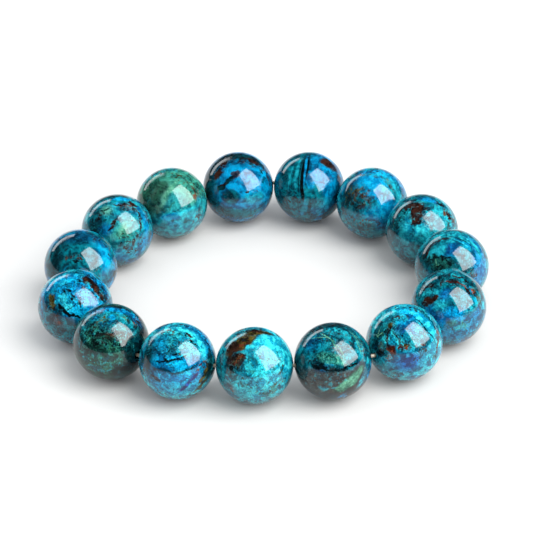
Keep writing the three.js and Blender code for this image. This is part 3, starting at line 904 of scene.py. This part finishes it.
class Stone:
    """The polished stone of one bead, painted on coordinates that run from -1 to 1 across it."""

    def __init__(self, bead, order):
        self.paint = Paint(bpy.data.materials.new(bead.name.replace("bead", "stone")))
        self.recipe = RECIPES[bead.name]
        self.marks = MARKS[bead.name]
        facing = (CAMERA_PLACE - bead.centre).normalized()
        right = (PHOTO_RIGHT - facing * PHOTO_RIGHT.dot(facing)).normalized()
        self.photo_axes = Matrix((right, facing.cross(right), facing)).transposed()
        place = self.paint.place(bead.centre, bead.radius)
        plain = place + tuple(order * step for step in BEAD_STEP)
        self.coordinates = {"plain": plain}
        for kind, (scale, detail, roughness, reach) in BENDS.items():
            drift = self.paint.noise(plain, scale, detail, roughness, output="Color")
            self.coordinates[kind] = place + (drift - MIDDLE) * reach
        self.grain = self.make_grain(self.recipe.grit)
        self.shore = self.noise(*SHORE) - MIDDLE
        self.textures = {kind: self.feature(kind) for kind in ("specks", "crumbs", "veins")}
        splits = self.cells(*FRAGMENTS, "DISTANCE_TO_EDGE", "Distance")
        self.textures["crumbs"] = self.textures["crumbs"] * splits.step(*FRAGMENT_EDGE)
        self.shades = {}
        self.colour = self.shade(self.recipe.ground[0])

    def noise(self, coordinates, offset, scale, detail, roughness, bend=0.0):
        """A noise of its own: the offset moves it clear of the bead's other noises."""
        moved = self.coordinates[coordinates] + tuple(offset * step for step in NOISE_STEP)
        return self.paint.noise(moved, scale, detail, roughness, bend)

    def feature(self, name):
        """Where one of the stone's own features shows: 1 in it and 0 outside."""
        *settings, low, high = FEATURES[name]
        noise = self.noise(*settings)
        return (noise if low < high else abs(noise - MIDDLE)).step(low, high)

    def cells(self, offset, scale, feature, output):
        """The stone broken into angular cells."""
        inputs = {"Vector": self.coordinates["wild"] + offset, "Scale": scale}
        return self.paint.node("ShaderNodeTexVoronoi", {"feature": feature}, inputs, output)

    def make_grain(self, grit):
        """How light each mineral is from place to place. Grit makes this finer and more broken."""
        detail = 4 + 2 * grit
        roughness = 0.6 + 0.06 * grit
        breaking = 0.1 * grit
        spread = 0.16 - 0.02 * grit
        plain = self.coordinates["plain"]
        clouds = self.paint.noise(plain, GRAIN_SCALE, detail, roughness, GRAIN_BEND)
        fragments = self.cells(*FRAGMENTS, "F1", "Color")
        fragment = self.paint.node("ShaderNodeSeparateColor", None, {0: fragments})
        broken = clouds + breaking * (fragment - MIDDLE)
        return broken.step(MIDDLE - spread, MIDDLE + spread)

    def shade(self, mineral):
        """The mineral's colour, from dark to light with the grain."""
        if mineral not in self.shades:
            dark, light = (linear(c, LIT) for c in MINERALS[mineral])
            self.shades[mineral] = self.paint.mix(self.grain, dark, light)
        return self.shades[mineral]

    def lay(self, mask, mineral):
        """Cover what is there with the mineral, as far as the mask goes."""
        self.colour = self.paint.mix(mask, self.colour, self.shade(mineral))

    def local(self, mark, bent):
        """The mark's own coordinates: 1 at the ends of its length and of its width."""
        right, up = mark.right, mark.up
        outward = math.sqrt(max(RIM_DEPTH, 1 - right * right - up * up))
        middle = self.photo_axes @ Vector((right, up, outward)).normalized()
        turn = math.radians(mark.turn)
        along = self.photo_axes @ Vector((math.cos(turn), math.sin(turn), 0))
        along = (along - middle * along.dot(middle)).normalized()
        axes = Matrix((along, middle.cross(along), middle)).transposed()
        inputs = {
            "Vector": bent,
            "Location": tuple(middle),
            "Rotation": tuple(axes.to_euler()),
            "Scale": (mark.length, mark.width, 1.0),
        }
        return self.paint.node("ShaderNodeMapping", {"vector_type": "TEXTURE"}, inputs)

    def mask(self, mark):
        """Where the mark shows: its strength in it and 0 outside."""
        coordinates, breaking, edge = STYLES[mark.style]
        node = self.paint.node
        local = self.local(mark, self.coordinates[coordinates])
        reach = node("ShaderNodeVectorMath", {"operation": "LENGTH"}, {0: local}, "Value")
        if breaking:
            reach = reach + self.shore * breaking
        if mark.style == "ring":
            return abs(reach - 1).step(edge, edge / 3) * mark.strength
        mask = reach.step(1 + edge, 1 - edge)
        if mark.style in self.textures:
            mask = mask * self.textures[mark.style]
        if mark.style == "fibres":
            across = node("ShaderNodeSeparateXYZ", None, {0: local}, "Y")
            wave = node("ShaderNodeMath", {"operation": "SINE"}, {0: across * FIBRE_WAVES})
            mask = mask * wave.step(0.5, 1.0)
        return mask * mark.strength

    def material(self):
        """The ground, the marks on it, and the flecks, islands and lines that run over both."""
        recipe = self.recipe
        feature = self.feature
        self.lay(feature("clouds"), recipe.ground[1])
        self.lay(feature("islands"), recipe.ground[2])
        self.lay(feature("blots"), recipe.flecks)
        self.lay(self.textures["specks"] * feature("speck_crowds"), recipe.flecks)
        for mark in self.marks:
            self.lay(self.mask(mark), mark.mineral)
        self.lay(feature("sparks") * feature("spark_crowds") * recipe.sparks, "cyan")
        crowds = THINNEST_MOTTLE + (1 - THINNEST_MOTTLE) * feature("mottle_crowds")
        self.lay(feature("mottle") * crowds * recipe.mottle, "deep_teal")
        if recipe.crackle:
            cracks = self.cells(*CRACKS, "DISTANCE_TO_EDGE", "Distance").step(*CRACK_EDGE)
            self.lay(cracks * feature("crack_crowds") * recipe.crackle, "deep_teal")
        web = feature("web") * feature("web_crowds")
        self.lay(web * recipe.web, "black")
        fine = self.paint.noise(self.coordinates["plain"], *FINE_GRAIN)
        bump = {"Height": 1 - web, "Strength": LINE_RELIEF, "Distance": LINE_DEPTH}
        looks = {
            "Base Color": self.colour * (1 + recipe.grit * (fine - MIDDLE)),
            "Roughness": POLISH + LINE_ROUGHNESS * web + FINE_ROUGHNESS * fine,
            "Normal": self.paint.node("ShaderNodeBump", None, bump),
            "IOR": STONE_IOR,
        }
        return self.paint.finish(looks)


# Bead shapes

HOLE_RADIUS = 0.65 * MM
MOUTH_RADIUS = 0.72 * MM
MOUTH_DEPTH = 0.12 * MM
MOUTH_ROUNDING = 0.05 * MM
MOUTH_STEPS = 3
SKIN_GAP = 0.0005 * MM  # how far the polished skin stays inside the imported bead
STEPS_AROUND = 112  # round the hole
STEPS_ALONG = 60  # from mouth to mouth
SAME_POINT = 0.002 * MM  # points closer than this are one
RIM_ANGLE = math.radians(25)  # edges sharper than this are rims
WITHIN_SKIN = 0.96  # in radii: a packed bead's corners this near its middle belong to its hole


class Bead(NamedTuple):
    """Where a bead is, and which way its hole runs, clockwise round the loop."""

    name: str
    centre: Vector
    radius: float
    along: Vector


def hole_direction(node, centre, radius):
    """Which way a bead's hole runs, from the corners at the two ends of the hole."""
    corners = [v.co - centre for v in node.data.vertices]
    ends = [c for c in corners if c.length < WITHIN_SKIN * radius]
    return sum((c for c in ends if c.dot(ends[0]) > 0), Vector()).normalized()


def find_beads():
    """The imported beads, clockwise round the loop, as they are numbered."""
    beads = []
    for name in BEAD_NAMES:
        low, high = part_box(name)
        centre = (low + high) / 2
        radius = (high.z - low.z) / 2 - SKIN_GAP
        along = hole_direction(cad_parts[name], centre, radius)
        clockwise = Vector((centre.y, -centre.x, 0))
        along = along if along.dot(clockwise) > 0 else -along
        beads.append(Bead(name, centre, radius, along))
    return beads


def bead_outline(radius):
    """From one mouth over the round of the bead to the other mouth, then back through the hole, as
    (distance from the hole's axis, distance along it)."""
    mouth = math.asin(MOUTH_RADIUS / radius)
    angles = [mouth + (math.pi - 2 * mouth) * i / STEPS_ALONG for i in range(STEPS_ALONG + 1)]
    outline = [(radius * math.sin(a), radius * math.cos(a)) for a in angles]
    hole_end = radius * math.cos(mouth) - MOUTH_DEPTH
    return outline + [(HOLE_RADIUS, -hole_end), (HOLE_RADIUS, hole_end)]


def polished_bead(bead):
    """The bead's outline spun round its hole, with the rims of the mouths rounded."""
    shape = bmesh.new()
    across = bead.along.cross(UP).normalized()
    points = [
        shape.verts.new(bead.centre + across * out + bead.along * height)
        for out, height in bead_outline(bead.radius)
    ]
    edges = [shape.edges.new((a, b)) for a, b in zip(points, points[1:] + points[:1])]
    bmesh.ops.spin(
        shape,
        geom=points + edges,
        cent=bead.centre,
        axis=bead.along,
        angle=2 * math.pi,
        steps=STEPS_AROUND,
        use_merge=True,
    )
    bmesh.ops.remove_doubles(shape, verts=shape.verts, dist=SAME_POINT)
    bmesh.ops.recalc_face_normals(shape, faces=shape.faces)
    rims = [e for e in shape.edges if e.is_manifold and e.calc_face_angle(0) > RIM_ANGLE]
    bmesh.ops.bevel(
        shape,
        geom=rims,
        offset=MOUTH_ROUNDING,
        segments=MOUTH_STEPS,
        profile=0.5,
        affect="EDGES",
        material=-1,
    )
    return finished("polished_" + bead.name, shape)


def make_beads(beads):
    for order, bead in enumerate(beads, start=1):
        name = bead.name
        piece = polished_bead(bead)
        piece.data.materials.append(Stone(bead, order).material())
        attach(piece, "root")
        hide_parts(name)


# The elastic cord

CORD_RADIUS = 0.34 * MM
CORD_SIDES = 16
CORD_BEND = 0.8 * MM  # the cord starts to bend this far inside a bead
BEND_STEPS = 7
# The cord's colours are darkened: painted shade of the narrow gaps between the beads.
CORD_SHADES = ((92, 86, 76), (146, 138, 122))
CORD_CLOUDS = (0.9, 3.0)  # scale and detail
CORD_UNEVENNESS = (6.0, 3.0, 0.6)  # scale, detail and roughness


def cord_route(beads):
    """Straight through each hole, then one smooth bend across the gap to the next bead."""
    points = []
    for bead, following in zip(beads, beads[1:] + beads[:1]):
        straight = bead.radius - CORD_BEND
        start = bead.centre + bead.along * straight
        end = following.centre - following.along * straight
        reach = (end - start).length / 3
        leaving = start + bead.along * reach
        arriving = end - following.along * reach
        points.append(bead.centre.copy())
        points += interpolate_bezier(start, leaving, arriving, end, BEND_STEPS)
    return points


def make_cord(beads):
    """A circle drawn on from point to point along the route, its last ring joined to its first."""
    route = cord_route(beads)
    stations = []
    for before, point, after in zip(route[-1:] + route, route, route[1:] + route[:1]):
        along = (after - before).normalized()
        side = along.cross(UP).normalized()
        stations.append(standing(point, side, side.cross(along), along))
    shape = bmesh.new()
    bmesh.ops.create_circle(
        shape, segments=CORD_SIDES, radius=CORD_RADIUS, matrix=stations[0], cap_ends=False
    )
    first = last = shape.edges[:]
    for here, there in zip(stations, stations[1:]):
        grown = bmesh.ops.extrude_edge_only(shape, edges=last)["geom"]
        corners = [g for g in grown if isinstance(g, bmesh.types.BMVert)]
        bmesh.ops.transform(shape, matrix=there @ here.inverted(), verts=corners)
        edges = [g for g in grown if isinstance(g, bmesh.types.BMEdge)]
        last = [e for e in edges if all(v in corners for v in e.verts)]
    bmesh.ops.bridge_loops(shape, edges=first + last)
    bmesh.ops.recalc_face_normals(shape, faces=shape.faces)
    cord = finished("elastic_thread", shape)
    cord.data.materials.append(elastic_material())
    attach(cord, "root")
    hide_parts("elastic_cord")


def elastic_material():
    """Milky, a little cloudy and slightly uneven, its colour darkened with painted shade of the
    gaps between the beads.
    """
    paint = Paint(bpy.data.materials.new("milky_elastic"))
    place = paint.place(size=MM)
    cloud = paint.noise(place, *CORD_CLOUDS)
    fine = paint.noise(place, *CORD_UNEVENNESS)
    dark, light = (linear(shade) for shade in CORD_SHADES)
    bump = {"Height": fine, "Strength": 0.2, "Distance": 0.05 * MM}
    looks = {
        "Base Color": paint.mix(cloud.step(0.35, 0.65), dark, light),
        "Roughness": 0.1 + 0.12 * fine,
        "Normal": paint.node("ShaderNodeBump", None, bump),
    }
    return paint.finish(looks)


# The surroundings: a pale floor, a softbox at the right, a strip light behind and the camera

FLOOR_HALF = 1.5
FLOOR_SHADES = ((161, 161, 162), (165, 165, 164))
FLOOR_CLOUDS = (3.0, 2.0)  # scale and detail
FLOOR_ROUGHNESS = 0.6
STRIP_LOW_END = Vector((-0.79, 0.59, 0.165))
STRIP_HIGH_END = Vector((-0.25, 0.82, 0.52))
STRIP_MIDDLE = (STRIP_LOW_END + STRIP_HIGH_END).normalized()
STRIP_DISTANCE = 0.7
LAMPS = [
    dict(
        name="softbox",
        place=Vector((0.461, -0.234, 0.662)),
        facing=Vector((0.700, -0.574, 0.413)),
        lengthwise=Vector((-0.517, 0.422, -1.057)),
        length=1.09,
        width=0.72,
        power=21,
        colour=(1.0, 0.985, 0.96),
    ),
    dict(
        name="strip",
        place=STRIP_MIDDLE * STRIP_DISTANCE,
        facing=STRIP_MIDDLE,
        lengthwise=STRIP_HIGH_END - STRIP_LOW_END,
        length=0.56,
        width=0.15,
        power=1.0,
        colour=(0.97, 0.98, 1.0),
    ),
]
AMBIENT = 2.0  # soft light from all round
AMBIENT_COLOUR = (0.95, 0.98, 1.0, 1.0)
REFLECTED_STUDIO = 0.03  # the dark studio round the lamps, as the polish shows it
BACKDROP = 0.92  # the pale studio behind the floor


def make_floor():
    shape = bmesh.new()
    bmesh.ops.create_grid(shape, x_segments=1, y_segments=1, size=FLOOR_HALF)
    floor = finished("floor", shape)
    paint = Paint(bpy.data.materials.new("pale_floor"))
    cloud = paint.noise(paint.place(), *FLOOR_CLOUDS)
    colour = paint.mix(cloud, *(linear(shade) for shade in FLOOR_SHADES))
    looks = {"Base Color": colour, "Roughness": FLOOR_ROUGHNESS}
    floor.data.materials.append(paint.finish(looks))


def make_light(name, place, facing, lengthwise, length, width, power, colour):
    """A flat lamp at place, its back turned to the way that facing points, its length along
    lengthwise."""
    light = bpy.data.lights.new(name, "AREA")
    light.shape = "RECTANGLE"
    light.size = length
    light.size_y = width
    light.energy = power
    light.color = colour
    backwards = facing.normalized()
    x_axis = (lengthwise - backwards * lengthwise.dot(backwards)).normalized()
    y_axis = backwards.cross(x_axis)
    added(name, light).matrix_world = standing(place, x_axis, y_axis, backwards)


def make_world():
    """A studio that is pale to look at, gives soft light, and stays dark in the polish."""
    paint = Paint(bpy.data.worlds.new("studio"))
    reflected, seen = (
        paint.node("ShaderNodeLightPath", output=ray) for ray in ("Is Glossy Ray", "Is Camera Ray")
    )
    inputs = {"Factor": reflected, "A": AMBIENT, "B": REFLECTED_STUDIO}
    soft = paint.node("ShaderNodeMix", None, inputs)
    strength = paint.node("ShaderNodeMix", None, {"Factor": seen, "A": soft, "B": BACKDROP})
    bpy.context.scene.world = paint.finish(
        {"Color": AMBIENT_COLOUR, "Strength": strength},
        "ShaderNodeBackground",
        "ShaderNodeOutputWorld",
    )


def make_camera():
    camera = bpy.data.cameras.new("camera")
    camera.lens = CAMERA_LENS
    camera.clip_start = NEAREST_SEEN
    holder = added("camera", camera)
    holder.matrix_world = standing(CAMERA_PLACE, PHOTO_RIGHT, PHOTO_UP, BACK)
    bpy.context.scene.camera = holder


make_camera()
for lamp in LAMPS:
    make_light(**lamp)
make_world()
make_floor()
bracelet = find_beads()
make_beads(bracelet)
make_cord(bracelet)
bpy.context.scene.view_settings.view_transform = "Standard"
